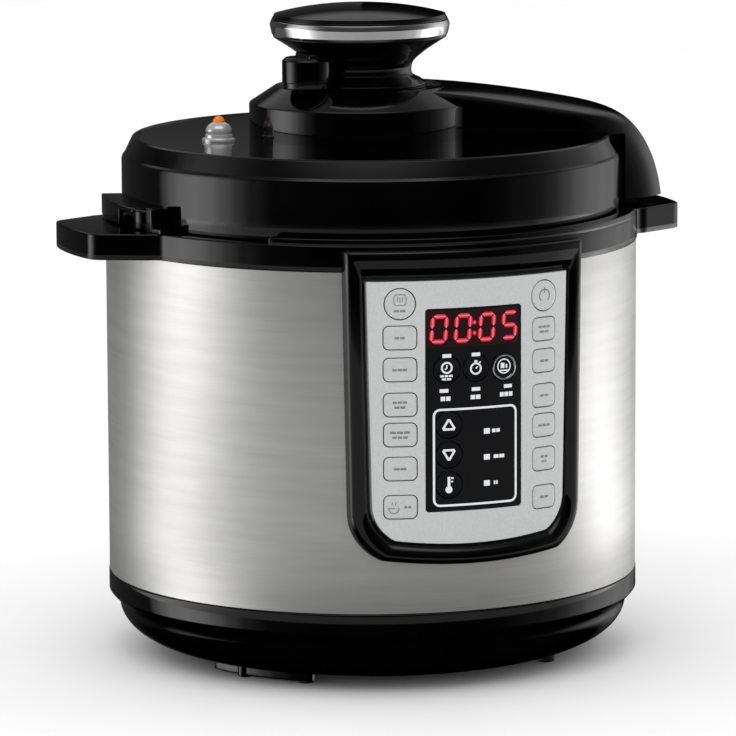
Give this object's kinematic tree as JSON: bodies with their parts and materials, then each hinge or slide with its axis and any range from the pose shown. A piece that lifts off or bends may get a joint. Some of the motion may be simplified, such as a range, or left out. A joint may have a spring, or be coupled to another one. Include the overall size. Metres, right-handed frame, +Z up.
{
  "type": "electric pressure cooker",
  "caption": "Round electric pressure cooker: turning bayonet lid with knob, arm and steam valve, side handles, brushed body, curved panel with display and keys.",
  "frame": {"origin": "on the standing surface, on the axis of the round body, which is the centre of the bounding box in plan", "axes": "+Z up, -Y towards the person using the control panel, +X towards the lid arm and the right handle"},
  "size_m": [0.349, 0.303, 0.3553],
  "materials": {
    "satin_black": "satin moulded black",
    "gloss_black": "polished moulded black",
    "rubber": "matt",
    "screw_steel": "zinc plated",
    "brushed_steel": "brushed round the body",
    "stainless": "satin stainless",
    "plate_aluminium": "cast",
    "spring_steel": "drawn wire",
    "ceramic": "matt",
    "board": "solder mask",
    "board_parts": "moulded",
    "contact_brass": "plated",
    "smoke_plastic": "dark translucent",
    "silver_panel": "fine metallic lacquer",
    "display_black": "polished dark window",
    "key_silver": "fine metallic lacquer",
    "dark_plastic": "moulded",
    "pot_coating": "dark non-stick coating",
    "silicone": "milky",
    "chrome": "polished",
    "cap_white": "pale plated dome",
    "orange_plastic": "moulded"
  },
  "bodies": {
    "base": {"base_shell": "satin_black", "bottom_cover": "satin_black", "rubber_feet": "rubber", "base_screws": "screw_steel", "steel_sleeve": "brushed_steel", "collar": "gloss_black", "lid_stop": "gloss_black", "outer_pot": "stainless", "heat_shield": "stainless", "heating_plate": "plate_aluminium", "probe_spring": "spring_steel", "pressure_switch": "ceramic", "power_board": "board", "board_parts": "board_parts", "inlet_housing": "satin_black", "inlet_pins": "contact_brass", "cup_pocket": "satin_black", "panel_frame": "gloss_black", "faceplate": "silver_panel", "display_window": "display_black", "display_module": "dark_plastic", "control_boards": "board", "key_switches": "dark_plastic"},
    "probe": {"temperature_probe": "plate_aluminium"},
    "cup": {"condensate_cup": "smoke_plastic"},
    "pot": {"inner_pot": "pot_coating"},
    "lid_carrier": {"lid_gasket": "silicone"},
    "lid": {"lid_shell": "gloss_black", "lid_underplate": "satin_black", "lid_inner": "stainless", "lid_cover": "gloss_black", "lid_screws": "screw_steel", "knob_base": "gloss_black", "knob_ring": "chrome", "knob_cap": "gloss_black", "valve_stem": "chrome", "valve_filter": "stainless", "float_seat": "cap_white"},
    "steam_weight": {"steam_valve": "gloss_black"},
    "float_pin": {"float_valve": "orange_plastic"},
    "key_left_1_body": {"key_left_1": "key_silver"},
    "key_left_2_body": {"key_left_2": "key_silver"},
    "key_left_3_body": {"key_left_3": "key_silver"},
    "key_left_4_body": {"key_left_4": "key_silver"},
    "key_left_5_body": {"key_left_5": "key_silver"},
    "key_left_6_body": {"key_left_6": "key_silver"},
    "key_left_7_body": {"key_left_7": "key_silver"},
    "key_right_1_body": {"key_right_1": "key_silver"},
    "key_right_2_body": {"key_right_2": "key_silver"},
    "key_right_3_body": {"key_right_3": "key_silver"},
    "key_right_4_body": {"key_right_4": "key_silver"},
    "key_right_5_body": {"key_right_5": "key_silver"},
    "key_right_6_body": {"key_right_6": "key_silver"},
    "key_right_7_body": {"key_right_7": "key_silver"},
    "key_delay_body": {"key_delay": "display_black"},
    "key_timer_body": {"key_timer": "display_black"},
    "key_light_body": {"key_light": "display_black"},
    "key_up_body": {"key_up": "display_black"},
    "key_down_body": {"key_down": "display_black"},
    "key_heat_body": {"key_heat": "display_black"}
  },
  "joints": [
    {"name": "lid_lift", "type": "slide", "parent": "base", "child": "lid_carrier", "axis": [0, 0, 1], "range_m": [0, 0.26]},
    {"name": "lid_turn", "type": "hinge", "parent": "lid_carrier", "child": "lid", "pos_m": [0, 0, 0.24], "axis": [0, 0, -1], "range_deg": [0, 30]},
    {"name": "pot_lift", "type": "slide", "parent": "base", "child": "pot", "axis": [0, 0, 1], "range_m": [0, 0.182]},
    {"name": "steam_valve_turn", "type": "hinge", "parent": "lid", "child": "steam_weight", "pos_m": [-0.04488, -0.02164, 0.318], "axis": [0, 0, 1], "range_deg": [0, 45]},
    {"name": "float_rise", "type": "slide", "parent": "lid", "child": "float_pin", "axis": [0, 0, 1], "range_m": [0, 0.004]},
    {"name": "probe_press", "type": "slide", "parent": "base", "child": "probe", "axis": [0, 0, 1], "range_m": [-0.002, 0], "stiffness_N_per_m": 500, "springref_m": 0.002, "deforming": ["probe_spring"]},
    {"name": "cup_pull", "type": "slide", "parent": "base", "child": "cup", "axis": [0, 1, 0], "range_m": [0, 0.045]},
    {"name": "key_left_1_press", "type": "slide", "parent": "base", "child": "key_left_1_body", "axis": [0.2689, 0.9632, 0], "range_m": [0, 0.0005], "stiffness_N_per_m": 600},
    {"name": "key_left_2_press", "type": "slide", "parent": "base", "child": "key_left_2_body", "axis": [0.2689, 0.9632, 0], "range_m": [0, 0.0005], "stiffness_N_per_m": 600},
    {"name": "key_left_3_press", "type": "slide", "parent": "base", "child": "key_left_3_body", "axis": [0.2689, 0.9632, 0], "range_m": [0, 0.0005], "stiffness_N_per_m": 600},
    {"name": "key_left_4_press", "type": "slide", "parent": "base", "child": "key_left_4_body", "axis": [0.2689, 0.9632, 0], "range_m": [0, 0.0005], "stiffness_N_per_m": 600},
    {"name": "key_left_5_press", "type": "slide", "parent": "base", "child": "key_left_5_body", "axis": [0.2689, 0.9632, 0], "range_m": [0, 0.0005], "stiffness_N_per_m": 600},
    {"name": "key_left_6_press", "type": "slide", "parent": "base", "child": "key_left_6_body", "axis": [0.2689, 0.9632, 0], "range_m": [0, 0.0005], "stiffness_N_per_m": 600},
    {"name": "key_left_7_press", "type": "slide", "parent": "base", "child": "key_left_7_body", "axis": [0.2689, 0.9632, 0], "range_m": [0, 0.0005], "stiffness_N_per_m": 600},
    {"name": "key_right_1_press", "type": "slide", "parent": "base", "child": "key_right_1_body", "axis": [-0.279, 0.9603, 0], "range_m": [0, 0.0005], "stiffness_N_per_m": 600},
    {"name": "key_right_2_press", "type": "slide", "parent": "base", "child": "key_right_2_body", "axis": [-0.279, 0.9603, 0], "range_m": [0, 0.0005], "stiffness_N_per_m": 600},
    {"name": "key_right_3_press", "type": "slide", "parent": "base", "child": "key_right_3_body", "axis": [-0.279, 0.9603, 0], "range_m": [0, 0.0005], "stiffness_N_per_m": 600},
    {"name": "key_right_4_press", "type": "slide", "parent": "base", "child": "key_right_4_body", "axis": [-0.279, 0.9603, 0], "range_m": [0, 0.0005], "stiffness_N_per_m": 600},
    {"name": "key_right_5_press", "type": "slide", "parent": "base", "child": "key_right_5_body", "axis": [-0.279, 0.9603, 0], "range_m": [0, 0.0005], "stiffness_N_per_m": 600},
    {"name": "key_right_6_press", "type": "slide", "parent": "base", "child": "key_right_6_body", "axis": [-0.279, 0.9603, 0], "range_m": [0, 0.0005], "stiffness_N_per_m": 600},
    {"name": "key_right_7_press", "type": "slide", "parent": "base", "child": "key_right_7_body", "axis": [-0.279, 0.9603, 0], "range_m": [0, 0.0005], "stiffness_N_per_m": 600},
    {"name": "key_delay_press", "type": "slide", "parent": "base", "child": "key_delay_body", "axis": [0.1045, 0.9945, 0], "range_m": [0, 0.0005], "stiffness_N_per_m": 600},
    {"name": "key_timer_press", "type": "slide", "parent": "base", "child": "key_timer_body", "axis": [-0.0035, 1, 0], "range_m": [0, 0.0005], "stiffness_N_per_m": 600},
    {"name": "key_light_press", "type": "slide", "parent": "base", "child": "key_light_body", "axis": [-0.1132, 0.9936, 0], "range_m": [0, 0.0005], "stiffness_N_per_m": 600},
    {"name": "key_up_press", "type": "slide", "parent": "base", "child": "key_up_body", "axis": [0.0976, 0.9952, 0], "range_m": [0, 0.0005], "stiffness_N_per_m": 600},
    {"name": "key_down_press", "type": "slide", "parent": "base", "child": "key_down_body", "axis": [0.0976, 0.9952, 0], "range_m": [0, 0.0005], "stiffness_N_per_m": 600},
    {"name": "key_heat_press", "type": "slide", "parent": "base", "child": "key_heat_body", "axis": [0.0976, 0.9952, 0], "range_m": [0, 0.0005], "stiffness_N_per_m": 600}
  ],
  "couplings": [
    {"joint": "pot_lift", "follows": "lid_lift", "ratio": 0.7}
  ]
}
